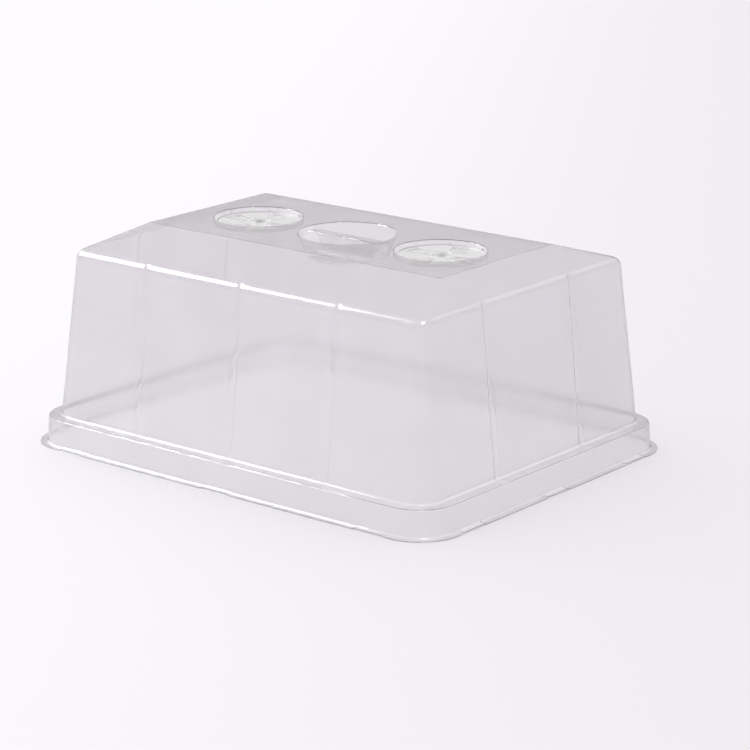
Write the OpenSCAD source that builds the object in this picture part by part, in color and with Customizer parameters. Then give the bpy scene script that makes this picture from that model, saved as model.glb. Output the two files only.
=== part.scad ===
// Humidity dome for a propagation tray: one thin clear formed shell with a
// moulded pinch grip between two rotary air vents.
// Lengths in millimetres. +Z is up, +X runs along the length.
// The origin is on the resting plane, at the middle of the footprint.

/* [Shell] */
// Overall length over the bottom flange
dome_l = 526; // [480:1:560]
// Overall width over the bottom flange
dome_w = 409; // [380:1:440]
// Overall height to the flat top panel
dome_h = 219.8; // [200:0.1:240]
// Thickness of the formed sheet
sheet_t = 1.0; // [0.8:0.1:1.6]
// Radius where the walls turn into the roof slopes
shoulder_r = 10; // [6:1:14]

/* [Roof] */
// Length of the flat top panel
panel_l = 374; // [350:1:390]
// Width of the flat top panel
panel_w = 178.6; // [160:0.1:200]
// Drop from the top panel to the shoulder line
roof_drop = 22.6; // [18:0.1:28]

/* [Rim] */
// Height of the ledge that rests on the tray's edge
ledge_z = 28.1; // [22:0.1:34]
// Width of the ledge outside the wall
ledge_w = 13.8; // [10:0.1:18]
// Width of the flange outside the skirt
flange_w = 6.6; // [5:0.1:10]
// Length of each raised pad on the flange
pad_l = 36; // [24:1:48]
// Height of each raised pad above the flange
pad_rise = 1; // [0.5:0.1:3]

/* [Wall grooves] */
// Width of each stiffening groove
groove_w = 10; // [8:0.5:14]
// Depth of each stiffening groove
groove_d = 2; // [1:0.1:4]
// Spacing of the grooves along the long walls
groove_pitch_long = 122; // [100:1:140]
// Spacing of the grooves along the short walls
groove_pitch_short = 139; // [110:1:160]

/* [Handle] */
// Radius of the pocket's mouth
grip_r = 49.7; // [44:0.1:54]
// Radius of the pocket's floor
grip_floor_r = 41; // [36:0.5:44]
// Depth of the two finger wells
grip_depth = 23.5; // [18:0.5:28]
// Width of the bar between the wells
grip_bar_w = 12; // [10:0.5:18]
// Depth of the bar's top below the panel
grip_bar_drop = 3.3; // [2:0.1:6]

/* [Vents] */
// Distance from the middle of the dome to each vent
vent_x = 117.7; // [112:0.1:130]
// Radius of each vent recess
vent_r = 45.8; // [40:0.1:50]
// Depth of each vent recess
vent_depth = 7; // [6:0.5:9]
// Radius of the turning disc
dial_r = 43.8; // [38:0.1:44]
// Thickness of the turning disc
dial_t = 1.4; // [1:0.1:2]
// Inner radius of the air slots
slot_in_r = 15; // [13:0.5:18]
// Outer radius of the air slots
slot_out_r = 38; // [30:0.5:40]
// Angle that each air slot spans
slot_angle = 38; // [30:1:42]
// Radius of the raised hub that the fingers turn
hub_r = 8; // [7:0.5:10]
// Radius of the rivet that the disc turns on
pivot_r = 2.5; // [2:0.1:3]
// Turn that takes the disc from closed to open
dial_turn = 45; // [43:0.5:45]

/* [Hidden] */
$fn = 96;

// Half sizes of the horizontal sections, each [half length, half width]
flange_half = [dome_l / 2, dome_w / 2];
skirt_low_half = flange_half - [flange_w, flange_w];
// The skirt leans in by this much between the flange and the ledge
skirt_lean = 1.5;
ledge_half = skirt_low_half - [skirt_lean, skirt_lean];
wall_low_half = ledge_half - [ledge_w, ledge_w];
// The walls lean in by these amounts between the ledge and the shoulder line
wall_lean = [17.4, 19.2];
shoulder_half = wall_low_half - wall_lean;
shoulder_z = dome_h - roof_drop;
panel_half = [panel_l, panel_w] / 2;

// Corner radii seen from above
flange_corner_r = 46;
ledge_corner_r = 41;
wall_corner_r = 25;
shoulder_corner_r = 12;
panel_corner_r = 1.5;

// Fillets of the rim: the ledge's outer edge, and the feet of the skirt and of the wall
edge_r = 1.4;
root_r = 1.8;
// A quarter fillet is drawn with one point between its ends, this share of the radius out
fillet_share = 0.3;

// Outline sampling
corner_steps = 6;
shoulder_steps = 4;
eps = 0.01;
// Cutting shapes run past the faces that they cut by this much
cut = 1;

// Rows of grooves and pads, as distances from the middle of a wall
long_grooves = [-groove_pitch_long, 0, groove_pitch_long];
short_grooves = [-groove_pitch_short / 2, groove_pitch_short / 2];
pad_inset = 71;
long_pads = [-(dome_l / 2 - pad_inset), 0, dome_l / 2 - pad_inset];
short_pads = [-(dome_w / 2 - pad_inset), 0, dome_w / 2 - pad_inset];

// Vent stack heights
vent_floor_z = dome_h - vent_depth;
// Running gap under the disc
dial_gap = 0.3;
dial_low_z = vent_floor_z + dial_gap;
rivet_head_t = 1.2;
rivet_head_r = 6.2;
rivet_sink = 0.3;
rivet_top_z = dome_h - rivet_sink;
// Running gap between the hub and the rivet's head
head_gap = 0.25;
hub_top_z = rivet_top_z - rivet_head_t - head_gap;
// Running fit of the disc on the rivet's shank, on the radius
running_clearance = 0.06;
cap_r = 6;
cap_t = 2.4;
cap_low_z = vent_floor_z - sheet_t - cap_t;
// The rivet's tip stands out below the cap by this much
rivet_tip = 0.8;
rivet_tip_z = cap_low_z - rivet_tip;
dial_rim_t = 1.4;
dial_rim_h = 1.2;
slot_count = 4;
slot_pitch = 360 / slot_count;

// End stops: a tab on the disc's rim runs between two nibs on the recess wall
stop_angle = 4;
stop_gap_angle = 0.5;
nib_w = 1.5;
nib_h = vent_depth / 2;
stop_low_r = vent_r - nib_w;
tab_gap = 0.6;
tab_r = vent_r - tab_gap;
tab_rest_angle = 90 - dial_turn / 2;
nib_step = stop_angle + stop_gap_angle;

function unit(angle) = [cos(angle), sin(angle)];
function turned(p, angle) =
    [p.x * cos(angle) - p.y * sin(angle), p.x * sin(angle) + p.y * cos(angle)];
function mix_of(a, b, share) = a + (b - a) * share;

// One wall's points seen along it: a trapezoid dip for each groove
function groove_points(rows, depth) = [
    for (c = rows, p = [[-0.5, 0], [-0.25, 1], [0.25, 1], [0.5, 0]])
        [c + p.x * groove_w, depth * p.y]
];

// Closed outline of a rounded rectangle with grooves in its four walls
function outline(half, r, depth) = [
    for (side = [0:3])
        let (normal_half = half[side % 2], along_half = half[(side + 1) % 2])
        let (rows = side % 2 == 0 ? short_grooves : long_grooves)
        let (dips = [for (p = groove_points(rows, depth)) [normal_half - p.y, p.x]])
        let (centre = [normal_half - r, along_half - r])
        let (bend = [for (i = [0:corner_steps]) centre + r * unit(90 * i / corner_steps)])
        for (p = concat(dips, bend)) turned(p, 90 * side)
];
function ring(half, r, z, depth = 0) = [for (p = outline(half, r, depth)) [p.x, p.y, z]];

// Leans of one side, from its three profile corners low, mid and top, each [half, z]
function wall_lean_of(low, mid) = atan((low.x - mid.x) / (mid.y - low.y));
function roof_slope_of(mid, top) = atan((top.y - mid.y) / (mid.x - top.x));
// The mid corner moved in by the sheet's thickness, square to both faces
function inset_mid(low, mid, top, t) =
    let (a = wall_lean_of(low, mid), b = roof_slope_of(mid, top))
    let (n = [cos(a), sin(a)], m = [sin(b), cos(b)])
    mid - t * (n + m) / (1 + n * m);

// Half size of one side at height z, with an arc of radius r at its mid corner
function side_at(low, mid, top, r, z) =
    let (a = wall_lean_of(low, mid), b = roof_slope_of(mid, top))
    let (run = r * tan((90 - a - b) / 2))
    let (start = mid + run * [sin(a), -cos(a)])
    let (centre = start - r * [cos(a), sin(a)])
    let (end_z = centre.y + r * cos(b))
    z <= start.y ? mix_of(low.x, mid.x, (z - low.y) / (mid.y - low.y))
    : z >= end_z ? mix_of(mid.x, top.x, (z - mid.y) / (top.y - mid.y))
    : centre.x + sqrt(r * r - (z - centre.y) * (z - centre.y));

// Share of the sheet's thickness by which the panel's edge is further in on the inner face
panel_step = 0.2;

// Both half sizes at height z, for the outer face (t = 0) or the inner face
function body_half(z, t) = [
    for (i = [0:1])
        let (low = [wall_low_half[i], ledge_z])
        let (mid = [shoulder_half[i], shoulder_z])
        let (top = [panel_half[i], dome_h])
        let (shift = inset_mid(low, mid, top, t))
        side_at(low - [t, t], shift, top - [panel_step * t, t], shoulder_r - t, z)
];
// Corner radius at height z; the corners tighten evenly up to the shoulder, then up to the panel
function body_corner_r(z) =
    let (bend_z = shoulder_z - shoulder_r)
    z < bend_z
    ? mix_of(wall_corner_r, shoulder_corner_r, (z - ledge_z) / (bend_z - ledge_z))
    : mix_of(shoulder_corner_r, panel_corner_r, (z - bend_z) / (dome_h - bend_z));

// Heights of the rings from the wall's foot up to the top panel
bend_below = 6.8;
bend_above = 3;
bend_low_z = shoulder_z - bend_below;
bend_top_z = shoulder_z + bend_above;
bend_z = [for (i = [0:shoulder_steps]) mix_of(bend_low_z, bend_top_z, i / shoulder_steps)];
function groove_at(z) = z > bend_top_z - eps ? 0 : groove_d;

function body_rings(t) = [
    for (z = concat([ledge_z + root_r], bend_z, [dome_h]))
        ring(body_half(z - t, t), body_corner_r(z), z - t, groove_at(z))
];

// Rings of the stepped rim, from the flange's edge up to the wall's foot
root_mid = root_r * fillet_share;
edge_mid = edge_r * fillet_share;
function grown(half, d) = half + [d, d];
function rim_outside() = [
    ring(flange_half, flange_corner_r, 0),
    ring(flange_half, flange_corner_r, sheet_t),
    ring(grown(skirt_low_half, root_r), ledge_corner_r, sheet_t),
    ring(grown(skirt_low_half, root_mid), ledge_corner_r, sheet_t + root_mid),
    ring(skirt_low_half, ledge_corner_r, sheet_t + root_r),
    ring(ledge_half, ledge_corner_r, ledge_z - edge_r),
    ring(grown(ledge_half, -edge_mid), ledge_corner_r, ledge_z - edge_mid),
    ring(grown(ledge_half, -edge_r), ledge_corner_r, ledge_z),
    ring(grown(wall_low_half, root_r), wall_corner_r, ledge_z, groove_d),
    ring(grown(wall_low_half, root_mid), wall_corner_r, ledge_z + root_mid, groove_d)
];
function rim_inside() = [
    ring(grown(skirt_low_half, -sheet_t), ledge_corner_r, 0),
    ring(grown(ledge_half, -sheet_t), ledge_corner_r, ledge_z - sheet_t),
    ring(grown(wall_low_half, -sheet_t + root_r), wall_corner_r, ledge_z - sheet_t, groove_d)
];
function reversed(list) = [for (i = [len(list) - 1:-1:0]) list[i]];

// Closed solid through a stack of rings that all have the same number of points.
// Each end is closed by a fan around its middle point.
module skin(rings) {
    n = len(rings[0]);
    m = len(rings);
    low_middle = m * n;
    high_middle = m * n + 1;
    middles = [[0, 0, rings[0][0].z], [0, 0, rings[m - 1][0].z]];
    next = [for (j = [0:n - 1]) (j + 1) % n];
    ends = [
        for (j = [0:n - 1])
            let (last = (m - 1) * n)
            for (f = [[low_middle, j, next[j]], [high_middle, last + next[j], last + j]])
                f
    ];
    sides = [
        for (i = [0:m - 2], j = [0:n - 1])
            let (here = i * n, above = (i + 1) * n)
            let (corner = here + j, opposite = above + next[j])
            for (f = [[corner, opposite, here + next[j]], [corner, above + j, opposite]])
                f
    ];
    polyhedron(points = concat([for (r = rings, p = r) p], middles), faces = concat(ends, sides));
}

module sheet_body() {
    inside = concat(reversed(body_rings(sheet_t)), reversed(rim_inside()));
    outside = concat(rim_outside(), body_rings(0));
    skin(concat(inside, outside));
}

// Cone of the grip pocket, from its floor up to a height above or below the panel
module grip_cone(mouth_r, floor_r, depth, above_panel) {
    lean = (mouth_r - floor_r) / depth;
    translate([0, 0, dome_h - depth])
        cylinder(r1 = floor_r, r2 = mouth_r + lean * above_panel, h = depth + above_panel);
}

// Block along the pocket, from well below its floor up to a drop below the panel
module grip_block(width, drop) {
    low_z = dome_h - 2 * grip_depth;
    translate([-2 * grip_r, -width / 2, low_z])
        cube([4 * grip_r, width, dome_h - drop - low_z]);
}

module grip_outside() {
    difference() {
        grip_cone(grip_r + sheet_t, grip_floor_r + sheet_t, grip_depth + sheet_t, -sheet_t / 2);
        grip_block(grip_bar_w - 2 * sheet_t, grip_bar_drop + sheet_t);
    }
}

module grip_inside() {
    difference() {
        grip_cone(grip_r, grip_floor_r, grip_depth, cut);
        grip_block(grip_bar_w, grip_bar_drop);
    }
}

// A flat sector between two radii, centred on the given direction
module sector(low_r, high_r, direction, angle, height) {
    linear_extrude(height)
        rotate(direction)
            intersection() {
                difference() {
                    circle(r = high_r);
                    circle(r = low_r);
                }
                polygon([[0, 0], 2 * high_r * unit(-angle / 2), 2 * high_r * unit(angle / 2)]);
            }
}

// The air slots, the first one centred on the given direction
module slot_sectors(first, height) {
    for (i = [0:slot_count - 1])
        sector(slot_in_r, slot_out_r, first + slot_pitch * i, slot_angle, height);
}

module vent_outside() {
    translate([0, 0, vent_floor_z - sheet_t])
        cylinder(r = vent_r + sheet_t, h = vent_depth + sheet_t / 2);
}

module vent_inside() {
    difference() {
        translate([0, 0, vent_floor_z]) cylinder(r = vent_r, h = vent_depth + cut);
        for (direction = [tab_rest_angle - nib_step, tab_rest_angle + dial_turn + nib_step])
            translate([0, 0, vent_floor_z - cut])
                sector(stop_low_r, vent_r + cut, direction, stop_angle, nib_h + cut);
    }
    translate([0, 0, vent_floor_z - sheet_t - cut]) {
        slot_sectors(dial_turn, sheet_t + 2 * cut);
        cylinder(r = pivot_r, h = sheet_t + 2 * cut);
    }
}

// Places its children on each flange pad, with +Y pointing out of the dome
module at_pads() {
    for (side = [0, 2]) {
        for (c = short_pads)
            rotate(90 * side - 90) translate([c, flange_half.x, 0]) children();
        for (c = long_pads)
            rotate(90 * side) translate([c, flange_half.y, 0]) children();
    }
}

// The pads run into the skirt by this much
pad_overlap = 0.6;

module pad_block(l, w, h, z) {
    translate([-l / 2, -w, z]) cube([l, w, h]);
}

module dome_shell() {
    pad_w = flange_w + pad_overlap;
    color([0.86, 0.85, 0.87, 0.45])
        difference() {
            union() {
                sheet_body();
                at_pads() pad_block(pad_l, pad_w, pad_rise + sheet_t, 0);
                grip_outside();
                for (dir = [-1, 1])
                    translate([dir * vent_x, 0, 0]) vent_outside();
            }
            grip_inside();
            for (dir = [-1, 1])
                translate([dir * vent_x, 0, 0]) vent_inside();
            at_pads()
                translate([0, -sheet_t, 0])
                    pad_block(pad_l - 2 * sheet_t, pad_w - sheet_t + eps, pad_rise + cut, -cut);
        }
}

// Turning disc with air slots, a raised rim, a stop tab and a raised hub
module vent_dial() {
    color([0.85, 0.86, 0.84, 0.6])
        translate([0, 0, dial_low_z])
            difference() {
                union() {
                    cylinder(r = dial_r, h = dial_t);
                    cylinder(r = hub_r, h = hub_top_z - dial_low_z);
                    difference() {
                        cylinder(r = dial_r, h = dial_t + dial_rim_h);
                        translate([0, 0, -cut])
                            cylinder(r = dial_r - dial_rim_t, h = dial_t + dial_rim_h + 2 * cut);
                    }
                    sector(dial_r - dial_rim_t / 2, tab_r, tab_rest_angle, stop_angle, dial_t);
                }
                translate([0, 0, -cut]) slot_sectors(0, dial_t + 2 * cut);
                translate([0, 0, -cut])
                    cylinder(r = pivot_r + running_clearance, h = vent_depth + 2 * cut);
            }
}

// Rivet that holds the disc: a flat head on a straight shank
module vent_rivet() {
    color([0.9, 0.9, 0.92, 0.7]) {
        translate([0, 0, rivet_top_z - rivet_head_t])
            cylinder(r = rivet_head_r, h = rivet_head_t);
        translate([0, 0, rivet_tip_z])
            cylinder(r = pivot_r, h = rivet_top_z - rivet_head_t - rivet_tip_z);
    }
}

// Cap that is pushed onto the rivet's end, under the recess floor
module rivet_cap() {
    color([0.88, 0.88, 0.9, 0.7])
        translate([0, 0, cap_low_z])
            difference() {
                cylinder(r = cap_r, h = cap_t);
                translate([0, 0, -cut]) cylinder(r = pivot_r, h = cap_t + 2 * cut);
            }
}

module left_vent_dial() { translate([-vent_x, 0, 0]) vent_dial(); }
module left_vent_rivet() { translate([-vent_x, 0, 0]) vent_rivet(); }
module left_rivet_cap() { translate([-vent_x, 0, 0]) rivet_cap(); }
module right_vent_dial() { translate([vent_x, 0, 0]) vent_dial(); }
module right_vent_rivet() { translate([vent_x, 0, 0]) vent_rivet(); }
module right_rivet_cap() { translate([vent_x, 0, 0]) rivet_cap(); }

dome_shell();
left_vent_dial();
left_vent_rivet();
left_rivet_cap();
right_vent_dial();
right_vent_rivet();
right_rivet_cap();
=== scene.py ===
"""Humidity dome: one thin clear formed shell with a pinch grip between two rotary air vents.

Lengths are in metres and angles in degrees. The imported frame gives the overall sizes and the
places of the vents; the named values below give the shape that the sheet has between them.
"""

import math

import bmesh
import bpy
from mathutils import Matrix, Vector


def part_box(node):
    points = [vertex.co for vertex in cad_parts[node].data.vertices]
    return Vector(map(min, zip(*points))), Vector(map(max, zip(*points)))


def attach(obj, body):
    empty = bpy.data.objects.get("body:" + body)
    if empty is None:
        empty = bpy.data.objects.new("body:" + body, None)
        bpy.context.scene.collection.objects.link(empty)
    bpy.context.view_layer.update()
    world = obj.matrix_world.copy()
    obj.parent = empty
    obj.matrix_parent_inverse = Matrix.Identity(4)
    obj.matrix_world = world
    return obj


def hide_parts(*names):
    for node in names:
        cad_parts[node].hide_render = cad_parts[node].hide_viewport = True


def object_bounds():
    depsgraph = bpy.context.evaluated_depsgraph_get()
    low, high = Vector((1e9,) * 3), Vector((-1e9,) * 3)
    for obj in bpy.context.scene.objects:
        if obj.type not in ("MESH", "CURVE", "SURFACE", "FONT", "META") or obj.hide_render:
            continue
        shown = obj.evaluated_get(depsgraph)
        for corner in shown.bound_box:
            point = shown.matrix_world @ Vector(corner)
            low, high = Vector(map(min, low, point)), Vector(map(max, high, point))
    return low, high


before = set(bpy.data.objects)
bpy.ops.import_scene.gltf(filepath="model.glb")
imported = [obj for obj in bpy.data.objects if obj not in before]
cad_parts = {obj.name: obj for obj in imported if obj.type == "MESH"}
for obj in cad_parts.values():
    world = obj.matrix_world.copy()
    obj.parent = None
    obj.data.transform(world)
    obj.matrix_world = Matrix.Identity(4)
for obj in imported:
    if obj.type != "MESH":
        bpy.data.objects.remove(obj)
cad_low, cad_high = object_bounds()

MM = 0.001

# Sheet and overall sizes
SHEET_T = 0.7 * MM
DOME_HALF = ((cad_high.x - cad_low.x) / 2, (cad_high.y - cad_low.y) / 2)
DOME_H = cad_high.z

# Steps of the side profile, each a distance in from the step before it
FLANGE_W = 6.6 * MM
SKIRT_LEAN = 1.5 * MM
LEDGE_W = 13.8 * MM
WALL_LEAN = (17.4 * MM, 19.2 * MM)
PANEL_HALF = (187.0 * MM, 89.3 * MM)
LEDGE_Z = 28.1 * MM
SHOULDER_Z = DOME_H - 22.6 * MM

# Fillets of the side profile
ROOT_R = 2.0 * MM
EDGE_R = 1.0 * MM
SHOULDER_R = 10.0 * MM
PANEL_EDGE_R = 5.0 * MM
LIP_W = 0.3 * MM
PANEL_MARGIN = 5.0 * MM

# Corner radii seen from above
FLANGE_CORNER_R = 46.0 * MM
LEDGE_CORNER_R = 41.0 * MM
WALL_CORNER_R = 25.0 * MM
SHOULDER_CORNER_R = 12.0 * MM
PANEL_CORNER_R = 3.0 * MM

# Stiffening grooves in the walls
GROOVE_W = 10.0 * MM
GROOVE_SIDE = 4.8 * MM
GROOVE_D = 1.2 * MM
GROOVE_RUN_OUT = 0.6
LONG_GROOVES = (-122.0 * MM, 0.0, 122.0 * MM)
SHORT_GROOVES = (-69.5 * MM, 69.5 * MM)

# Raised pads on the flange
PAD_L = 36.0 * MM
PAD_END = 1.6 * MM
PAD_RISE = 1.0 * MM
PAD_INSET = 71.0 * MM
PAD_FADE_Z = 9.0 * MM

# Pocket of the pinch grip, with a bar across it
GRIP_MARGIN = 3.0 * MM
GRIP_MOUTH_R = 49.7 * MM
GRIP_FLOOR_R = 41.0 * MM
GRIP_DEPTH = 23.5 * MM
GRIP_RIM_R = 1.2 * MM
GRIP_BAR_HALF = 6.0 * MM
GRIP_BAR_DROP = 3.3 * MM
GRIP_BAR_EDGE_R = 0.8 * MM
GRIP_CORNER_RUN = 7.0 * MM
GRIP_FLOOR_FILLET = 3.5 * MM
GRIP_EASE_DEPTH = GRIP_DEPTH / 3

# Vent recesses, with their air slots and the two stops of each disc's tab
VENT_MARGIN = 2.5 * MM
VENT_R = 45.8 * MM
VENT_DEPTH = 7.0 * MM
VENT_RIM_R = 1.0 * MM
VENT_FILLET = 1.2 * MM
VENT_FLAT_W = 4.0 * MM
SLOT_IN_R = 15.0 * MM
SLOT_OUT_R = 38.0 * MM
SLOT_ANGLE = 38.0
SLOT_COUNT = 4
SLOT_TURN = 45.0
STOP_ANGLE = 4.0
STOP_GAP_ANGLE = 0.5
STOP_SIDE_ANGLE = 0.25
STOP_LOW_R = 44.3 * MM
STOP_H = 3.5 * MM
STOP_TOP_H = 0.2 * MM

# Discs, each with a raised hub, a raised rim and a tab
TAB_REST_ANGLE = 67.5
TAB_R = 45.2 * MM
DIAL_R = 43.8 * MM
DIAL_T = 1.4 * MM
DIAL_RIM_T = 1.4 * MM
DIAL_RIM_H = 1.2 * MM
DIAL_RIM_FOOT = 1.0 * MM
DIAL_RIM_EDGE_R = 0.4 * MM
DIAL_RIM_LEAN = 0.1 * MM
DIAL_EDGE_LEAN = 0.05 * MM
HUB_R = 8.0 * MM
HUB_H = 4.95 * MM
HUB_TOP_LEAN = 0.4 * MM
HUB_TOP_EDGE_R = 0.8 * MM
HUB_FOOT_LEAN = 0.2 * MM
HUB_FOOT_R = 1.2 * MM
BORE_R = 2.56 * MM

# Rivets and caps
PIVOT_R = 2.5 * MM
RIVET_HEAD_R = 6.2 * MM
RIVET_HEAD_T = 1.2 * MM
RIVET_DOME = 0.35 * MM
RIVET_EDGE = 0.25 * MM
RIVET_UNDER_EDGE = 0.15 * MM
RIVET_TIP = 0.5 * MM
CAP_EDGE_R = 0.5 * MM

# X of the two vents, from the rivets that their discs turn on
VENT_SIDES = ("left", "right")
VENT_PLACES = [sum(corner.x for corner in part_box(side + "_vent_rivet")) / 2 for side in VENT_SIDES]

# Where the sheet's material changes
ZONE_DROP = 0.3 * MM
# Height band at the ledge and flange bends that gets the paler sheet, as painted light.
PAINTED_LIGHT_RIM_ZONE = 3.0 * MM
SHOULDER_ZONE = 6.0 * MM

# Mesh density
FILLET_STEPS = 5
SMALL_STEPS = 3
SHOULDER_STEPS = 12
WALL_STEPS = 8
CORNER_STEPS = 14
GROOVE_STEPS = 20
PAD_STEPS = 4
CIRCLE_STEPS = 120
ROUND_STEPS = 72
RIVET_DOME_STEPS = 7
WELL_ARC_STEPS = 56
WELL_CORNER_STEPS = 8
WELL_LINE_STEPS = 14
BAR_END_STEPS = 6
SLOT_RINGS = (22.0 * MM, 30.0 * MM)
HUB_SEAT_RING = 9.0 * MM
HUB_FOOT_RING = 12.0 * MM
DIAL_OUTER_RING = 40.0 * MM
SHARP_ANGLE = 40.0

# How near two values count as the same
PLACES = 7
TINY = 1e-6
MERGE_DISTANCE = 1e-7
ANGLE_PLACES = 4
ANGLE_TOLERANCE = 0.01
FLAT_TOLERANCE = 0.05 * MM


# ---------------------------------------------------------------- small helpers


def lerp(a, b, share):
    """Value at a share of the way from a to b."""
    return a + (b - a) * share


def smooth(share):
    """Eases a share from 0 to 1, and holds it there outside."""
    share = min(max(share, 0.0), 1.0)
    return share * share * (3 - 2 * share)


def polar(radius, angle):
    """X and Y at a radius and an angle."""
    turn = math.radians(angle)
    return radius * math.cos(turn), radius * math.sin(turn)


def rounded_profile(corners):
    """Points of a side profile with its corners rounded.

    Each corner is (half, z, radius, steps). Returns a list of (half, z, corner number, share of the
    way round that corner), and a corner with no radius gives one point.
    """
    points = []
    for number, (half, z, radius, steps) in enumerate(corners):
        here = Vector((half, z))
        if not radius:
            points.append((half, z, number, 0.0))
            continue
        back = (Vector(corners[number - 1][:2]) - here).normalized()
        ahead = (Vector(corners[number + 1][:2]) - here).normalized()
        bend = back.angle(ahead)
        centre = here + (back + ahead).normalized() * radius / math.sin(bend / 2)
        start = here + back * radius / math.tan(bend / 2) - centre
        end = here + ahead * radius / math.tan(bend / 2) - centre
        turn = start.angle_signed(end)
        for step in range(steps + 1):
            share = step / steps
            spoke = start.copy()
            spoke.rotate(Matrix.Rotation(-turn * share, 2))
            points.append((*(centre + spoke), number, share))
    return points


def bridge(bm, low, high):
    """Joins two closed rows of vertices with quads."""
    count = len(low)
    for i in range(count):
        j = (i + 1) % count
        bm.faces.new((low[i], low[j], high[j], high[i]))


def ring_edges(bm, row):
    """Edges of a closed row of vertices."""
    return [bm.edges.get((row[i - 1], row[i])) for i in range(len(row))]


def add_row(bm, points):
    """Adds a vertex at each point."""
    return [bm.verts.new(p) for p in points]


# ---------------------------------------------------------------- the shell's walls


def groove_share(distance):
    """Depth of a groove, from 0 to 1, at a distance from its middle."""
    return smooth((GROOVE_W / 2 - abs(distance)) / GROOVE_SIDE)


def pad_share(distance):
    """Rise of a pad, from 0 to 1, at a distance from its middle."""
    return smooth((PAD_L / 2 - abs(distance)) / PAD_END)


def pad_middles(side_half):
    """Middles of the three pads along a side."""
    return (-(side_half - PAD_INSET), 0.0, side_half - PAD_INSET)


def stations(grooves, pads):
    """Distances along a wall at which each ring of the shell has a point."""
    found = set()
    for middle in grooves:
        for step in range(GROOVE_STEPS + 1):
            found.add(round(middle + GROOVE_W * (step / GROOVE_STEPS - 0.5), PLACES))
    for middle in pads:
        for step in range(PAD_STEPS + 1):
            reach = PAD_L / 2 - PAD_END * step / PAD_STEPS
            found.update((round(middle - reach, PLACES), round(middle + reach, PLACES)))
    return sorted(found)


def shell_ring(halves, heights, corner_r, groove, pad):
    """One closed ring of the shell. Halves and heights are pairs, for the X walls and the Y walls."""
    points = []
    for side in range(4):
        across = side % 2
        along = 1 - across
        grooves = LONG_GROOVES if across else SHORT_GROOVES
        pads = pad_middles(DOME_HALF[along])
        last_groove = grooves[-1] + GROOVE_W / 2
        straight = halves[along] - corner_r
        full_straight = DOME_HALF[along] - FLANGE_CORNER_R
        squeeze = (straight - last_groove) / (full_straight - last_groove)
        wall = []
        for s in stations(grooves, pads):
            dip = groove * max(groove_share(s - middle) for middle in grooves)
            rise = pad * max(pad_share(s - middle) for middle in pads)
            beyond = max(abs(s) - last_groove, 0.0)
            placed = math.copysign(abs(s) - beyond + beyond * squeeze, s)
            wall.append((halves[across] - dip, placed, heights[across] + rise))
        centre = (halves[across] - corner_r, straight)
        for step in range(CORNER_STEPS + 1):
            share = step / CORNER_STEPS
            x, y = polar(corner_r, 90 * share)
            z = lerp(heights[across], heights[along], smooth(share))
            wall.append((centre[0] + x, centre[1] + y, z))
        cos, sin = ((1, 0), (0, 1), (-1, 0), (0, -1))[side]
        points += [(x * cos - y * sin, x * sin + y * cos, z) for x, y, z in wall]
    return points


def side_profile(axis):
    """Side profile of the walls that face one axis, from the flange's edge to the flat panel."""
    skirt_half = DOME_HALF[axis] - FLANGE_W
    ledge_half = skirt_half - SKIRT_LEAN
    wall_half = ledge_half - LEDGE_W
    shoulder_half = wall_half - WALL_LEAN[axis]
    panel_half = PANEL_HALF[axis]
    fade = (PAD_FADE_Z - SHEET_T) / (LEDGE_Z - SHEET_T)
    corners = [
        (DOME_HALF[axis], SHEET_T, 0, 0),
        (DOME_HALF[axis] - LIP_W, SHEET_T, 0, 0),
        (skirt_half, SHEET_T, ROOT_R, FILLET_STEPS),
        (lerp(skirt_half, ledge_half, fade), PAD_FADE_Z, 0, 0),
        (ledge_half, LEDGE_Z, EDGE_R, FILLET_STEPS),
        (wall_half, LEDGE_Z, ROOT_R, FILLET_STEPS),
    ]
    for step in range(1, WALL_STEPS):
        share = step / WALL_STEPS
        half = lerp(wall_half, shoulder_half, share)
        corners.append((half, lerp(LEDGE_Z, SHOULDER_Z, share), 0, 0))
    corners.append((shoulder_half, SHOULDER_Z, SHOULDER_R, SHOULDER_STEPS))
    corners.append((lerp(shoulder_half, panel_half, 0.5), lerp(SHOULDER_Z, DOME_H, 0.5), 0, 0))
    corners.append((panel_half, DOME_H, PANEL_EDGE_R, FILLET_STEPS))
    corners.append((panel_half - PANEL_MARGIN, DOME_H, 0, 0))
    return rounded_profile(corners)


# Numbers of the side profile's corners, in the order of side_profile
LIP, LIP_TOP, FLANGE_ROOT, SKIRT, LEDGE_EDGE, WALL_FOOT = range(6)
SHOULDER = WALL_FOOT + WALL_STEPS
ROOF = SHOULDER + 1


def corner_radius(number):
    """Plan radius of the dome's corners at one corner of the side profile."""
    if number <= LIP_TOP:
        return FLANGE_CORNER_R
    if number <= LEDGE_EDGE:
        return LEDGE_CORNER_R
    if number <= SHOULDER:
        return lerp(WALL_CORNER_R, SHOULDER_CORNER_R, (number - WALL_FOOT) / WALL_STEPS)
    if number == ROOF:
        return lerp(SHOULDER_CORNER_R, PANEL_CORNER_R, 0.5)
    return PANEL_CORNER_R


def groove_depth(number, share):
    """Depth of the grooves at one corner of the side profile; they run out over the shoulder."""
    if number < WALL_FOOT or number > SHOULDER:
        return 0.0
    if number < SHOULDER:
        return GROOVE_D
    return GROOVE_D * (1 - smooth((share - GROOVE_RUN_OUT) / (1 - GROOVE_RUN_OUT)))


def pad_rise(number):
    """Rise of the pads; their outer face starts on the resting plane."""
    if number == LIP:
        return -SHEET_T
    return PAD_RISE if number in (LIP_TOP, FLANGE_ROOT) else 0.0


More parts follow.
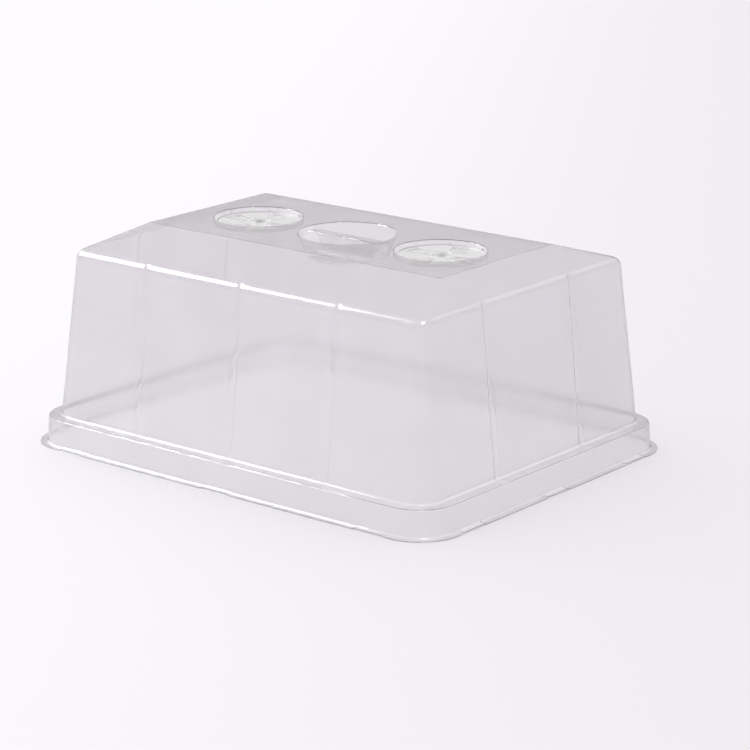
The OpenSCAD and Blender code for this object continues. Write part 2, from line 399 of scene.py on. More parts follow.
def add_walls(bm):
    """Flange, skirt, ledge, walls and roof slopes. Returns the last ring, on the flat panel."""
    rows = []
    for (half_x, z_x, number, share), (half_y, z_y, _, _) in zip(side_profile(0), side_profile(1)):
        rows.append(add_row(bm, shell_ring(
            (half_x, half_y), (z_x, z_y), corner_radius(number),
            groove_depth(number, share), pad_rise(number))))
    for low, high in zip(rows, rows[1:]):
        bridge(bm, low, high)
    return rows[-1]


# ---------------------------------------------------------------- vent recesses


def in_sector(angle, middle, width):
    """True within half a width of a middle angle, either way round."""
    return abs((angle - middle + 180) % 360 - 180) < width / 2


def vent_angles():
    """Angles of the points round a vent, with the ends of its slots and stops among them."""
    found = {round(360 * i / CIRCLE_STEPS, ANGLE_PLACES) for i in range(CIRCLE_STEPS)}
    for i in range(SLOT_COUNT):
        for first in (0, SLOT_TURN):
            middle = first + 360 / SLOT_COUNT * i
            for end in (-1, 1):
                found.add(round((middle + end * SLOT_ANGLE / 2) % 360, ANGLE_PLACES))
    for middle in (*nib_middles(), TAB_REST_ANGLE):
        for end in (-1, 1):
            edge = middle + end * STOP_ANGLE / 2
            found.add(round(edge % 360, ANGLE_PLACES))
            found.add(round((edge + end * STOP_SIDE_ANGLE) % 360, ANGLE_PLACES))
    return sorted(found)


def nib_middles():
    """Angles of the two stops, one past each end of the tab's turn."""
    step = STOP_ANGLE + STOP_GAP_ANGLE
    return TAB_REST_ANGLE - step, TAB_REST_ANGLE + SLOT_TURN + step


def fillet_points(corners):
    """Points of a rounded profile without their corner numbers."""
    return [(r, z) for r, z, _, _ in rounded_profile(corners)]


def add_vent(bm, centre_x):
    """One vent recess with its floor, slots and stops. Returns its outermost ring."""
    angles = vent_angles()
    floor_z = DOME_H - VENT_DEPTH
    nib_z = floor_z + STOP_H
    wall = fillet_points([
        (VENT_R + VENT_MARGIN, DOME_H, 0, 0),
        (VENT_R, DOME_H, VENT_RIM_R, FILLET_STEPS),
        (VENT_R, nib_z + STOP_TOP_H, 0, 0),
        (VENT_R, nib_z, 0, 0),
        (VENT_R, floor_z, VENT_FILLET, FILLET_STEPS),
        (VENT_R - VENT_FLAT_W, floor_z, 0, 0),
    ])
    floor_radii = [SLOT_OUT_R, *SLOT_RINGS[::-1], SLOT_IN_R, HUB_SEAT_RING, PIVOT_R]
    nib_width = STOP_ANGLE + ANGLE_TOLERANCE
    rows = []
    for radius, z in wall + [(r, floor_z) for r in floor_radii]:
        points = []
        for angle in angles:
            on_nib = z <= nib_z and any(in_sector(angle, m, nib_width) for m in nib_middles())
            x, y = polar(min(radius, STOP_LOW_R) if on_nib else radius, angle)
            points.append((centre_x + x, y, z))
        rows.append(add_row(bm, points))
    slot_rows = range(len(wall), len(wall) + len(SLOT_RINGS) + 1)
    for number, (outer, inner) in enumerate(zip(rows, rows[1:])):
        for i, angle in enumerate(angles):
            j = (i + 1) % len(angles)
            middle = angle + ((angles[j] - angle) % 360) / 2
            if number in slot_rows and in_slot(middle, SLOT_TURN):
                continue
            bm.faces.new((outer[i], outer[j], inner[j], inner[i]))
    return rows[0]


def in_slot(angle, first):
    """True in one of the slots whose first one has its middle at an angle."""
    middles = [first + 360 / SLOT_COUNT * i for i in range(SLOT_COUNT)]
    return any(in_sector(angle, middle, SLOT_ANGLE) for middle in middles)


# ---------------------------------------------------------------- grip pocket


def grip_radius(z):
    """Radius of the pocket's leaning wall at a height."""
    lean = (GRIP_MOUTH_R - GRIP_FLOOR_R) / GRIP_DEPTH
    return GRIP_MOUTH_R - lean * (DOME_H - z)


def well_outline(radius, line_y, rounding):
    """Outline of one finger well: an arc and a straight side, with two corners eased by rounding.

    It runs from the +X corner over the arc to the -X corner and back along the straight side.
    """
    alpha = math.degrees(math.asin(line_y / radius))
    beta = math.degrees(GRIP_CORNER_RUN / radius)
    corner_x = radius * math.cos(math.radians(alpha))
    corner = Vector((corner_x, line_y))
    steps = range(WELL_CORNER_STEPS + 1)
    on_arc = [Vector(polar(radius, alpha + beta * i / WELL_CORNER_STEPS)) for i in steps]
    on_line = [corner + Vector((-GRIP_CORNER_RUN * i / WELL_CORNER_STEPS, 0)) for i in steps]
    sharp = on_line[::-1] + on_arc[1:]
    first = sharp[0]
    last = sharp[-1]
    bend = []
    for i, point in enumerate(sharp):
        u = i / (len(sharp) - 1)
        eased = first * (1 - u) ** 2 + corner * 2 * u * (1 - u) + last * u**2
        bend.append(point.lerp(eased, rounding))
    arc = [Vector(polar(radius, lerp(alpha + beta, 180 - alpha - beta, i / WELL_ARC_STEPS)))
           for i in range(1, WELL_ARC_STEPS)]
    mirrored = [Vector((-p.x, p.y)) for p in bend[::-1]]
    line = [Vector((lerp(-first.x, first.x, i / WELL_LINE_STEPS), line_y))
            for i in range(1, WELL_LINE_STEPS)]
    return bend + arc + mirrored + line


def well_levels():
    """Levels of a finger well from the bar's top down: (z, straight side's y, inset of the arc)."""
    top_z = DOME_H - GRIP_BAR_DROP
    floor_z = DOME_H - GRIP_DEPTH
    levels = []
    for step in range(FILLET_STEPS + 1):
        turn = math.pi / 2 * step / FILLET_STEPS
        z = top_z - GRIP_BAR_EDGE_R * (1 - math.cos(turn))
        levels.append((z, GRIP_BAR_HALF - GRIP_BAR_EDGE_R * (1 - math.sin(turn)), 0.0))
    low_z = floor_z + GRIP_FLOOR_FILLET
    for step in range(1, WALL_STEPS + 1):
        levels.append((lerp(levels[FILLET_STEPS][0], low_z, step / WALL_STEPS), GRIP_BAR_HALF, 0.0))
    for step in range(1, FILLET_STEPS + 1):
        turn = math.pi / 2 * step / FILLET_STEPS
        inset = GRIP_FLOOR_FILLET * (1 - math.cos(turn))
        levels.append((low_z - GRIP_FLOOR_FILLET * math.sin(turn), GRIP_BAR_HALF + inset, inset))
    return levels


def place_key(x, y):
    """A place as seen from above, rounded so that it can be looked up."""
    return round(x, PLACES), round(y, PLACES)


def add_well(bm, side, shared):
    """One finger well under the bar's level. shared maps its top points on the circle to vertices."""
    levels = well_levels()
    rows = []
    for z, line_y, inset in levels:
        rounding = smooth((levels[0][0] - z) / GRIP_EASE_DEPTH)
        outline = well_outline(grip_radius(z) - inset, line_y, rounding)
        points = [(p.x, side * p.y, z) for p in outline]
        row = []
        for p in points:
            key = place_key(p[0], p[1])
            row.append(shared[key] if not rows and key in shared else bm.verts.new(p))
        rows.append(row)
    for high, low in zip(rows, rows[1:]):
        bridge(bm, high, low)
    bm.faces.new(rows[-1])
    return rows[0]


def add_grip(bm):
    """The grip pocket with its bar and two finger wells. Returns its outermost ring."""
    top_z = DOME_H - GRIP_BAR_DROP
    radius = grip_radius(top_z)
    line_y = GRIP_BAR_HALF - GRIP_BAR_EDGE_R
    outline = well_outline(radius, line_y, 0.0)
    arc = outline[WELL_CORNER_STEPS:WELL_CORNER_STEPS * 3 + WELL_ARC_STEPS + 1]
    alpha = math.degrees(math.asin(line_y / radius))
    end = [Vector(polar(radius, lerp(180 - alpha, 180 + alpha, i / BAR_END_STEPS)))
           for i in range(1, BAR_END_STEPS)]
    half_ring = arc + end
    circle = half_ring + [Vector((-p.x, -p.y)) for p in half_ring]
    directions = [p.normalized() for p in circle]
    rim = fillet_points([
        (GRIP_MOUTH_R + GRIP_MARGIN, DOME_H, 0, 0),
        (GRIP_MOUTH_R, DOME_H, GRIP_RIM_R, FILLET_STEPS),
        (radius, top_z, 0, 0),
    ])
    rows = [add_row(bm, [(*(d * r), z) for d in directions]) for r, z in rim]
    for outer, inner in zip(rows, rows[1:]):
        bridge(bm, outer, inner)
    shared = {place_key(v.co.x, v.co.y): v for v in rows[-1]}
    wells = {side: add_well(bm, side, shared) for side in (1, -1)}
    fill_bar_top(bm, wells, rows[-1], line_y)
    return rows[0]


def fill_bar_top(bm, wells, circle, line_y):
    """Flat top of the bar, between the straight sides of the two wells."""
    near = line_y + TINY
    band = []
    for side in (1, -1):
        straight = [v for v in wells[side] if abs(v.co.y) < near]
        band.append(sorted(straight, key=lambda v: v.co.x))
    for a, b in zip(zip(band[0], band[1]), zip(band[0][1:], band[1][1:])):
        bm.faces.new((a[0], a[1], b[1], b[0]))
    for sign in (1, -1):
        cap = [v for v in circle if abs(v.co.y) < near and v.co.x * sign > 0]
        cap.sort(key=lambda v: v.co.y)
        bm.faces.new(cap)


# ---------------------------------------------------------------- pieces


def finish_piece(bm, name, materials, body, nodes, sheet=0.0):
    """Makes a piece from a mesh, gives it the sheet's thickness, and sets it on its CAD body."""
    bmesh.ops.remove_doubles(bm, verts=bm.verts, dist=MERGE_DISTANCE)
    bmesh.ops.recalc_face_normals(bm, faces=bm.faces)
    mesh = bpy.data.meshes.new(name)
    bm.to_mesh(mesh)
    bm.free()
    piece = bpy.data.objects.new(name, mesh)
    bpy.context.scene.collection.objects.link(piece)
    for material in materials:
        mesh.materials.append(material)
    if sheet:
        solid = piece.modifiers.new("Sheet", "SOLIDIFY")
        solid.thickness = sheet
        solid.offset = -1
        solid.use_even_offset = True
        solid.use_quality_normals = True
        apply_modifiers(piece)
        keep_above_rest(piece)
    piece.data.shade_smooth()
    piece.data.set_sharp_from_angle(angle=math.radians(SHARP_ANGLE))
    weigh = piece.modifiers.new("Face weights", "WEIGHTED_NORMAL")
    weigh.keep_sharp = True
    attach(piece, body)
    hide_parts(*nodes)


def apply_modifiers(piece):
    """Gives a piece the mesh that its modifiers make of it, and removes them."""
    graph = bpy.context.evaluated_depsgraph_get()
    shaped = bpy.data.meshes.new_from_object(piece.evaluated_get(graph))
    shaped.name = piece.name
    piece.modifiers.clear()
    piece.data = shaped


def keep_above_rest(piece):
    """Lifts the points that the sheet's thickness has pushed below the resting plane."""
    for vertex in piece.data.vertices:
        vertex.co.z = max(vertex.co.z, cad_low.z)


# Numbers of the sheet's materials, in the order that make_dome lists them
WALL_SHEET, DRAWN_SHEET, GRAINED_SHEET, PAINTED_LIGHT_RIM_SHEET, GROOVE_SHEET, ROOF_SHEET = range(6)


def make_shell(materials):
    """The formed sheet, with a material for each zone of it. At the ledge and flange bends it gets a
    clearer, paler copy, which is painted light that lightens their dark lines.
    """
    bm = bmesh.new()
    loops = [add_walls(bm), add_grip(bm)]
    loops += [add_vent(bm, x) for x in VENT_PLACES]
    edges = [e for row in loops for e in ring_edges(bm, row)]
    bmesh.ops.triangle_fill(bm, use_beauty=True, edges=edges, normal=(0, 0, 1))
    for face in bm.faces:
        face.material_index = sheet_zone(face.calc_center_median())
    finish_piece(
        bm, "shell_sheet", materials, "root", ["dome_shell"], sheet=SHEET_T)


def on_groove(point):
    """True on the grooves of the walls, between the ledge and the shoulder."""
    if not LEDGE_Z < point.z < SHOULDER_Z:
        return False
    on_short_wall = abs(point.x) > PANEL_HALF[0]
    grooves, along = (SHORT_GROOVES, point.y) if on_short_wall else (LONG_GROOVES, point.x)
    return min(abs(along - middle) for middle in grooves) < GROOVE_SIDE


def sheet_zone(point):
    """Number of the sheet's material at a point."""
    # The ledge and flange bends take a clearer, paler copy of the sheet: painted light that lightens
    # the dark lines that these bends show.
    on_ledge_bend = FLAT_TOLERANCE < abs(point.z - LEDGE_Z) < PAINTED_LIGHT_RIM_ZONE
    on_flange_bend = SHEET_T + PAD_RISE < point.z < PAINTED_LIGHT_RIM_ZONE
    if on_ledge_bend or on_flange_bend:
        return PAINTED_LIGHT_RIM_SHEET
    if on_groove(point):
        return GROOVE_SHEET
    if point.z > DOME_H - ZONE_DROP:
        return ROOF_SHEET
    if math.hypot(point.x, point.y) < GRIP_MOUTH_R:
        return DRAWN_SHEET
    if min(math.hypot(point.x - x, point.y) for x in VENT_PLACES) > VENT_R:
        return ROOF_SHEET if point.z > SHOULDER_Z + SHOULDER_ZONE else WALL_SHEET
    return GRAINED_SHEET if point.z < DOME_H - VENT_DEPTH + ZONE_DROP else DRAWN_SHEET


def revolve(bm, profile, centre_x):
    """Turns a profile about a vertical axis. A profile point at radius 0 is a pole."""
    rows = []
    for radius, z in profile:
        if radius == 0:
            rows.append([bm.verts.new((centre_x, 0, z))])
            continue
        spokes = [polar(radius, 360 * i / ROUND_STEPS) for i in range(ROUND_STEPS)]
        rows.append(add_row(bm, [(centre_x + x, y, z) for x, y in spokes]))
    for a, b in zip(rows, rows[1:]):
        if len(a) == 1 or len(b) == 1:
            pole, row = (a[0], b) if len(a) == 1 else (b[0], a)
            for i in range(ROUND_STEPS):
                bm.faces.new((pole, row[i], row[(i + 1) % ROUND_STEPS]))
        else:
            bridge(bm, a, b)
    return rows


def dial_sections():
    """Radii of the disc's rings, each with its top height above the disc's underside."""
    hub = fillet_points([
        (BORE_R, HUB_H, 0, 0),
        (HUB_R - HUB_TOP_LEAN, HUB_H, HUB_TOP_EDGE_R, FILLET_STEPS),
        (HUB_R + HUB_FOOT_LEAN, DIAL_T, HUB_FOOT_R, FILLET_STEPS),
        (HUB_FOOT_RING, DIAL_T, 0, 0),
    ])
    flat = [(r, DIAL_T) for r in (SLOT_IN_R, *SLOT_RINGS, SLOT_OUT_R, DIAL_OUTER_RING)]
    rim_low = DIAL_R - DIAL_RIM_T
    rim_top = DIAL_T + DIAL_RIM_H
    rim = fillet_points([
        (rim_low - DIAL_RIM_FOOT, DIAL_T, 0, 0),
        (rim_low, DIAL_T, DIAL_RIM_EDGE_R, SMALL_STEPS),
        (rim_low + DIAL_RIM_LEAN, rim_top, DIAL_RIM_EDGE_R, SMALL_STEPS),
        (DIAL_R - DIAL_EDGE_LEAN, rim_top, DIAL_RIM_EDGE_R, SMALL_STEPS),
        (DIAL_R, DIAL_T, 0, 0),
    ])
    return hub + flat + rim


def make_dial(side, centre_x, material):
    """Turning disc with slots, a raised hub and rim, and the tab that meets the stops."""
    low_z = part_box(side + "_vent_dial")[0].z
    angles = vent_angles()
    sections = dial_sections()
    sections.append((TAB_R, DIAL_T))
    bm = bmesh.new()
    top = []
    low = []
    for radius, height in sections:
        spokes = [polar(radius, angle) for angle in angles]
        top.append(add_row(bm, [(centre_x + x, y, low_z + height) for x, y in spokes]))
        low.append(add_row(bm, [(centre_x + x, y, low_z) for x, y in spokes]))

    def kept(ring, i):
        """True where the disc has material between two rings and two angles."""
        if not 0 <= ring < len(sections) - 1:
            return False
        i %= len(angles)
        middle = angles[i] + ((angles[(i + 1) % len(angles)] - angles[i]) % 360) / 2
        if ring == len(sections) - 2:
            return in_sector(middle, TAB_REST_ANGLE, STOP_ANGLE)
        inside = SLOT_IN_R - TINY < sections[ring][0] < SLOT_OUT_R - TINY
        return not (inside and in_slot(middle, 0))

    for ring in range(len(sections) - 1):
        for i in range(len(angles)):
            if not kept(ring, i):
                continue
            j = (i + 1) % len(angles)
            bm.faces.new((top[ring][i], top[ring + 1][i], top[ring + 1][j], top[ring][j]))
            bm.faces.new((low[ring][i], low[ring][j], low[ring + 1][j], low[ring + 1][i]))
            sides = (
                (kept(ring - 1, i), (ring, i), (ring, j)),
                (kept(ring + 1, i), (ring + 1, j), (ring + 1, i)),
                (kept(ring, i - 1), (ring + 1, i), (ring, i)),
                (kept(ring, i + 1), (ring, j), (ring + 1, j)),
            )
            for closed, (ra, ia), (rb, ib) in sides:
                if not closed:
                    bm.faces.new((low[ra][ia], low[rb][ib], top[rb][ib], top[ra][ia]))
    loose = [v for v in bm.verts if not v.link_faces]
    bmesh.ops.delete(bm, geom=loose, context="VERTS")
    finish_piece(
        bm, side + "_dial_disc", [material], side + "_dial", [side + "_vent_dial"])


def make_rivet(side, centre_x, material):
    """Rivet with a low domed head and a straight shank with a chamfered tip."""
    (_, _, low_z), (_, _, high_z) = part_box(side + "_vent_rivet")
    under_z = high_z - RIVET_HEAD_T
    profile = [(0, high_z)]
    for step in range(1, RIVET_DOME_STEPS):
        share = step / RIVET_DOME_STEPS
        profile.append((RIVET_HEAD_R * share, high_z - RIVET_DOME * share**2))
    profile += [
        (RIVET_HEAD_R - RIVET_EDGE, high_z - RIVET_DOME),
        (RIVET_HEAD_R, high_z - RIVET_DOME - RIVET_EDGE),
        (RIVET_HEAD_R, under_z + RIVET_UNDER_EDGE),
        (RIVET_HEAD_R - RIVET_UNDER_EDGE, under_z),
        (PIVOT_R, under_z),
        (PIVOT_R, low_z + RIVET_TIP),
        (PIVOT_R - RIVET_TIP, low_z),
        (0, low_z),
    ]
    bm = bmesh.new()
    revolve(bm, profile, centre_x)
    finish_piece(
        bm, side + "_rivet", [material], "root", [side + "_vent_rivet"])


def make_cap(side, centre_x, material):
    """Cap on the rivet's end, a ring with rounded edges."""
    low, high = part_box(side + "_rivet_cap")
    radius = (high.x - low.x) / 2
    profile = fillet_points([
        (PIVOT_R, low.z, 0, 0),
        (radius, low.z, CAP_EDGE_R, SMALL_STEPS),
        (radius, high.z, CAP_EDGE_R, SMALL_STEPS),
        (PIVOT_R, high.z, 0, 0),
    ])
    bm = bmesh.new()
    rows = revolve(bm, profile, centre_x)
    bridge(bm, rows[-1], rows[0])
    finish_piece(
        bm, side + "_cap", [material], "root", [side + "_rivet_cap"])


# ---------------------------------------------------------------- materials

SHEET_TINT = (0.985, 0.979, 0.987)
SHEET_MILK = (0.52, 0.5, 0.53)
CLEAR_TINT = (0.997, 0.996, 0.998)
CLEAR_MILK = (0.9, 0.89, 0.91)
WAVE = 0.02 * MM
GRAIN = 0.01 * MM
CLOUD_RANGE = (0.3, 0.7)
CLOUD_TINT = 0.985
LAMP_SHARE = 0.945


def clear_plastic(name, tint, haze, milk, rough, wave, wave_size, ior=1.5):
    """Thin clear plastic: it bends and mirrors light as a real sheet does, with a faint haze.

    Haze is the share of light that meets the milk colour. Wave is the height of the faint ripples
    and wave_size their length. Lamps shine through the plastic unbent, so its shadow is faint.
    """
    material = bpy.data.materials.new(name)
    material.use_nodes = True
    nodes = material.node_tree.nodes
    links = material.node_tree.links
    nodes.clear()

    def node(kind, **values):
        made = nodes.new(kind)
        for key, value in values.items():
            made.inputs[key.replace("_", " ")].default_value = value
        return made

    place = nodes.new("ShaderNodeTexCoord")
    cloud = node("ShaderNodeTexNoise", Scale=1 / wave_size, Detail=2.0)
    links.new(place.outputs["Object"], cloud.inputs["Vector"])
    bump = node("ShaderNodeBump", Strength=1.0, Distance=wave)
    links.new(cloud.outputs["Fac"], bump.inputs["Height"])

    ramp = nodes.new("ShaderNodeValToRGB")
    for end, position in zip(ramp.color_ramp.elements, CLOUD_RANGE):
        end.position = position
    ramp.color_ramp.elements[0].color = (*[c * CLOUD_TINT for c in tint], 1)
    ramp.color_ramp.elements[1].color = (*tint, 1)
    links.new(cloud.outputs["Fac"], ramp.inputs["Fac"])

    glass = node("ShaderNodeBsdfGlass", Roughness=rough, IOR=ior)
    links.new(ramp.outputs["Color"], glass.inputs["Color"])
    links.new(bump.outputs["Normal"], glass.inputs["Normal"])
    cloudy = node("ShaderNodeBsdfDiffuse", Color=(*milk, 1))
    surface = node("ShaderNodeMixShader", Fac=haze)
    links.new(glass.outputs[0], surface.inputs[1])
    links.new(cloudy.outputs[0], surface.inputs[2])

    light = node("ShaderNodeBsdfTransparent", Color=(LAMP_SHARE, LAMP_SHARE, LAMP_SHARE, 1))
    path = nodes.new("ShaderNodeLightPath")
    for ray in ("Is Diffuse Ray", "Is Shadow Ray"):
        lit = nodes.new("ShaderNodeMixShader")
        links.new(path.outputs[ray], lit.inputs[0])
        links.new(surface.outputs[0], lit.inputs[1])
        links.new(light.outputs[0], lit.inputs[2])
        surface = lit
    out = nodes.new("ShaderNodeOutputMaterial")
    links.new(lit.outputs[0], out.inputs["Surface"])
    return material


def floor_painted_falloff():
    """Matt pale paper with painted light falloff: its colour darkens a little towards the right of
    the camera's view, as painted shade where less light falls.
    """
    material = bpy.data.materials.new("floor_painted_falloff")
    material.use_nodes = True
    nodes = material.node_tree.nodes
    links = material.node_tree.links
    shader = nodes["Principled BSDF"]
    shader.inputs["Roughness"].default_value = FLOOR_ROUGHNESS
    shader.inputs["Specular IOR Level"].default_value = 0.0
    place = nodes.new("ShaderNodeTexCoord")
    turn = nodes.new("ShaderNodeVectorRotate")
    turn.rotation_type = "Z_AXIS"
    turn.inputs["Angle"].default_value = math.radians(-PAINTED_FALLOFF_ANGLE)
    split = nodes.new("ShaderNodeSeparateXYZ")
    reach = nodes.new("ShaderNodeMapRange")
    reach.inputs["From Min"].default_value = PAINTED_FALLOFF_REACH[0]
    reach.inputs["From Max"].default_value = PAINTED_FALLOFF_REACH[1]
    reach.interpolation_type = "SMOOTHSTEP"
    ramp = nodes.new("ShaderNodeValToRGB")
    # Painted light falloff: the colour runs from the pale lit tone to a painted shade towards the
    # right.
    ramp.color_ramp.elements[0].color = (*FLOOR_PALE, 1)
    ramp.color_ramp.elements[1].color = (*FLOOR_PAINTED_SHADE, 1)
    links.new(place.outputs["Object"], turn.inputs["Vector"])
    links.new(turn.outputs["Vector"], split.inputs["Vector"])
    links.new(split.outputs["X"], reach.inputs["Value"])
    links.new(reach.outputs["Result"], ramp.inputs["Fac"])
    links.new(ramp.outputs["Color"], shader.inputs["Base Color"])
    return material


# ---------------------------------------------------------------- studio


CAMERA_AZIMUTH = 39.0
CAMERA_ELEVATION = 16.01
CAMERA_DISTANCE = 3.1255
CAMERA_TARGET = Vector((-0.1368, 0.2128, 0.0))
CAMERA_LENS = 135.74
CAMERA_SENSOR = 36.0

# Bounces that light needs to pass through the clear walls
CLEAR_BOUNCES = 48
LIGHT_BOUNCES = 24

# Floor, and its painted light falloff: painted shade that darkens it towards the right
FLOOR_REACH = 12.0
FLOOR_SIDES = 72
FLOOR_DROP = 0.2 * MM
FLOOR_ROUGHNESS = 0.9
FLOOR_PALE = (0.93, 0.92, 0.935)
# Painted shade at the floor's darker side.
FLOOR_PAINTED_SHADE = (0.828, 0.809, 0.827)
PAINTED_FALLOFF_ANGLE = 32.0
PAINTED_FALLOFF_REACH = (-0.5, 0.5)

# Surroundings, as seen and as mirrored
BACKDROP_COLOUR = (0.95, 0.945, 0.955)
ROOM_COLOUR = (0.30, 0.29, 0.305)

# Daylight from above
DAYLIGHT_WAY = (250.0, 65.0)
DAYLIGHT_SPREAD = 100.0
DAYLIGHT_STRENGTH = 2.65

# Softboxes, each with its two sides and its radiance
SOFTBOX_REACH = 1.6
FRINGE_REACH = 1.7
KEY = ((0.84, 0.85), 30.0)
KEY_FRINGE = ((1.5, 0.5), 0.9)
SIDE_GLOW = ((0.9, 0.5), 0.6)
CORNER_STRIP = ((0.4, 1.4), 0.5)
TOP_SPARK = ((0.35, 0.35), 40.0)
TOP_SPARK_WAY = Vector((0.27, -0.12, 0.94))

# Points of the dome that the softboxes show in, and the tilt of the surface there
FRONT_SHOULDER = Vector((-0.22, -0.165, SHOULDER_Z))
FRONT_TILT = 45.0
RIGHT_SHOULDER = Vector((0.22, 0.0, SHOULDER_Z))
RIGHT_TILT = 47.0
WALL_CORNER = Vector((0.21, -0.14, (LEDGE_Z + SHOULDER_Z) / 2))
CORNER_TILT = 82.0
SHOULDER_CORNER = Vector((0.21, -0.15, SHOULDER_Z))

FRONT = Vector((0, -1, 0))
RIGHT = Vector((1, 0, 0))
FRONT_RIGHT = Vector((0.707, -0.707, 0))


def direction(azimuth, elevation):
    """Unit vector from the object towards a viewer at that azimuth and elevation."""
    a = math.radians(azimuth)
    e = math.radians(elevation)
    return Vector((math.sin(a) * math.cos(e), -math.cos(a) * math.cos(e), math.sin(e)))


def aim(thing, target):
    """Turns a lamp or camera towards a point."""
    thing.rotation_euler = (Vector(target) - thing.location).to_track_quat("-Z", "Y").to_euler()


def add_softbox(name, centre, target, size, radiance):
    """Oval softbox that only gloss shows. Its first side lies along the dome's length."""
    lamp = bpy.data.lights.new(name, "AREA")
    lamp.shape = "ELLIPSE"
    lamp.size = size[0]
    lamp.size_y = size[1]
    lamp.energy = radiance * math.pi * size[0] * size[1]
    softbox = bpy.data.objects.new(name, lamp)
    bpy.context.scene.collection.objects.link(softbox)
    back = (Vector(centre) - Vector(target)).normalized()
    along = (Vector((1, 0, 0)) - back * back.x).normalized()
    turn = Matrix((along, back.cross(along), back)).transposed()
    softbox.matrix_world = Matrix.Translation(centre) @ turn.to_4x4()
    softbox.visible_camera = False
    softbox.visible_diffuse = False


def camera_place():
    """Where the camera stands."""
    return CAMERA_TARGET + direction(CAMERA_AZIMUTH, CAMERA_ELEVATION) * CAMERA_DISTANCE


def mirrored_way(point, side, tilt):
    """Way of the camera's reflection at a point where the surface tilts from the top to a side."""
    view = (camera_place() - point).normalized()
    tilt = math.radians(tilt)
    normal = side * math.sin(tilt) + Vector((0, 0, math.cos(tilt)))
    return 2 * normal.dot(view) * normal - view


def add_mirrored(name, point, side, tilt, softbox, reach=SOFTBOX_REACH):
    """Adds a softbox that the camera sees mirrored at a point of the dome."""
    size, radiance = softbox
    add_softbox(name, point + mirrored_way(point, side, tilt) * reach, point, size, radiance)


def add_daylight():
    """Wide, even light from above, which shows in no reflection."""
    lamp = bpy.data.lights.new("daylight", "SUN")
    lamp.angle = math.radians(DAYLIGHT_SPREAD)
    lamp.energy = DAYLIGHT_STRENGTH
    sky = bpy.data.objects.new("daylight", lamp)
    bpy.context.scene.collection.objects.link(sky)
    sky.location = direction(*DAYLIGHT_WAY)
    aim(sky, (0, 0, 0))
    sky.visible_glossy = False
    sky.visible_transmission = False


def add_world():
    """Pale for the camera, greyer for reflections, as a studio's dim ceiling and walls are."""
    world = bpy.data.worlds.new("studio")
    bpy.context.scene.world = world
    world.use_nodes = True
    nodes = world.node_tree.nodes
    links = world.node_tree.links
    nodes.clear()
    pale = nodes.new("ShaderNodeBackground")
    dim = nodes.new("ShaderNodeBackground")
    pale.inputs["Color"].default_value = (*BACKDROP_COLOUR, 1)
    dim.inputs["Color"].default_value = (*ROOM_COLOUR, 1)
    path = nodes.new("ShaderNodeLightPath")
    mix = nodes.new("ShaderNodeMixShader")
    seen = nodes.new("ShaderNodeMath")
    seen.operation = "MAXIMUM"
    out = nodes.new("ShaderNodeOutputWorld")
    links.new(path.outputs["Is Camera Ray"], seen.inputs[0])
    links.new(path.outputs["Is Transmission Ray"], seen.inputs[1])
    links.new(seen.outputs[0], mix.inputs[0])
    links.new(dim.outputs[0], mix.inputs[1])
    links.new(pale.outputs[0], mix.inputs[2])
    links.new(mix.outputs[0], out.inputs["Surface"])


def add_floor():
    """Wide floor a little below the resting plane."""
    bm = bmesh.new()
    turns = [360 / FLOOR_SIDES * i for i in range(FLOOR_SIDES)]
    row = add_row(bm, [(*polar(FLOOR_REACH, turn), 0) for turn in turns])
    bm.faces.new(row)
    mesh = bpy.data.meshes.new("floor")
    bm.to_mesh(mesh)
    bm.free()
    floor = bpy.data.objects.new("floor", mesh)
    floor.location.z = -FLOOR_DROP
    bpy.context.scene.collection.objects.link(floor)
    mesh.materials.append(floor_painted_falloff())


def add_camera():
    """Camera that looks down on the front right corner."""
    data = bpy.data.cameras.new("camera")
    data.sensor_width = CAMERA_SENSOR
    data.lens = CAMERA_LENS
    camera = bpy.data.objects.new("camera", data)
    bpy.context.scene.collection.objects.link(camera)
    camera.location = camera_place()
    aim(camera, CAMERA_TARGET)
    bpy.context.scene.camera = camera


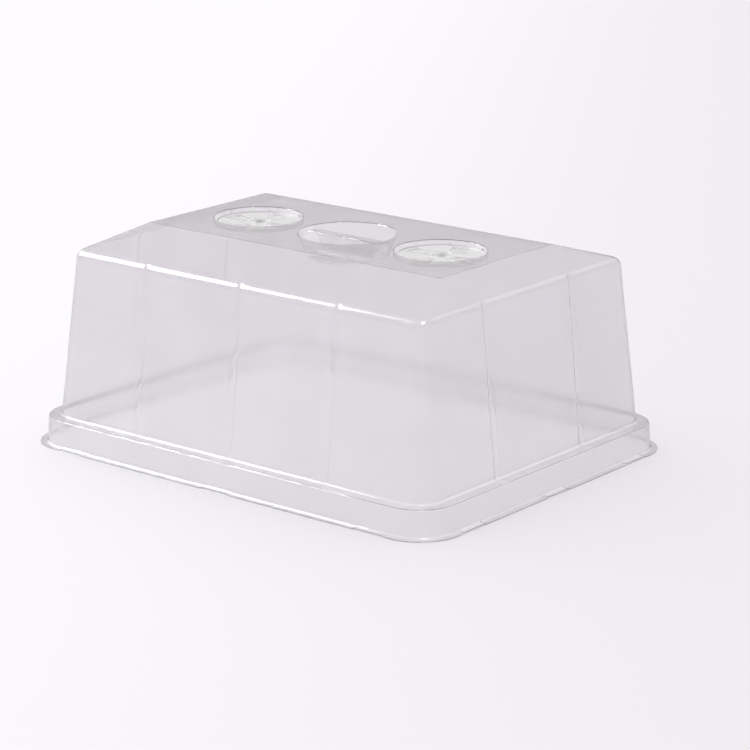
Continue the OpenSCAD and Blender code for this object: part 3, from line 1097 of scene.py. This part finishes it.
def make_studio():
    """Pale floor with painted light falloff, plain backdrop, soft light and the camera."""
    scene = bpy.context.scene
    scene.view_settings.view_transform = "Standard"
    scene.cycles.transparent_max_bounces = CLEAR_BOUNCES
    scene.cycles.max_bounces = LIGHT_BOUNCES
    add_world()
    add_floor()
    add_camera()
    add_daylight()
    add_mirrored("key", FRONT_SHOULDER, FRONT, FRONT_TILT, KEY)
    add_mirrored("key_fringe", FRONT_SHOULDER, FRONT, FRONT_TILT, KEY_FRINGE, FRINGE_REACH)
    add_mirrored("side_glow", RIGHT_SHOULDER, RIGHT, RIGHT_TILT, SIDE_GLOW)
    add_mirrored("corner_strip", WALL_CORNER, FRONT_RIGHT, CORNER_TILT, CORNER_STRIP)
    spark_place = SHOULDER_CORNER + TOP_SPARK_WAY * SOFTBOX_REACH
    add_softbox("top_spark", spark_place, SHOULDER_CORNER, *TOP_SPARK)


def make_dome():
    """All the pieces, each with its material."""
    sheet = clear_plastic(
        "clear_sheet", SHEET_TINT, haze=0.078, milk=SHEET_MILK,
        rough=0.13, wave=WAVE, wave_size=60 * MM)
    drawn = clear_plastic(
        "drawn_sheet", CLEAR_TINT, haze=0.05, milk=CLEAR_MILK,
        rough=0.0, wave=WAVE, wave_size=30 * MM)
    # Clearer, paler copy for the ledge and flange bends: painted light that lightens their dark
    # lines.
    rim = clear_plastic(
        "rim_sheet_painted_light", CLEAR_TINT, haze=0.03, milk=CLEAR_MILK,
        rough=0.0, wave=WAVE, wave_size=30 * MM)
    grooved = clear_plastic(
        "groove_sheet", SHEET_TINT, haze=0.078, milk=SHEET_MILK,
        rough=0.13, wave=WAVE, wave_size=30 * MM, ior=1.35)
    roof = clear_plastic(
        "roof_sheet", SHEET_TINT, haze=0.075, milk=SHEET_MILK,
        rough=0.05, wave=WAVE, wave_size=60 * MM)
    grained = clear_plastic(
        "grained_sheet", (0.99, 0.99, 0.988), haze=0.36, milk=(0.8, 0.79, 0.8),
        rough=0.2, wave=GRAIN, wave_size=8 * MM)
    disc = clear_plastic(
        "dial_plastic", (0.99, 0.991, 0.988), haze=0.4, milk=(0.81, 0.805, 0.8),
        rough=0.3, wave=GRAIN, wave_size=8 * MM)
    rivet = clear_plastic(
        "rivet_plastic", (0.99, 0.99, 0.99), haze=0.5, milk=(0.83, 0.83, 0.82),
        rough=0.3, wave=GRAIN, wave_size=4 * MM)
    make_shell([sheet, drawn, grained, rim, grooved, roof])
    for side, centre_x in zip(VENT_SIDES, VENT_PLACES):
        make_dial(side, centre_x, disc)
        make_rivet(side, centre_x, rivet)
        make_cap(side, centre_x, rivet)


make_studio()
make_dome()
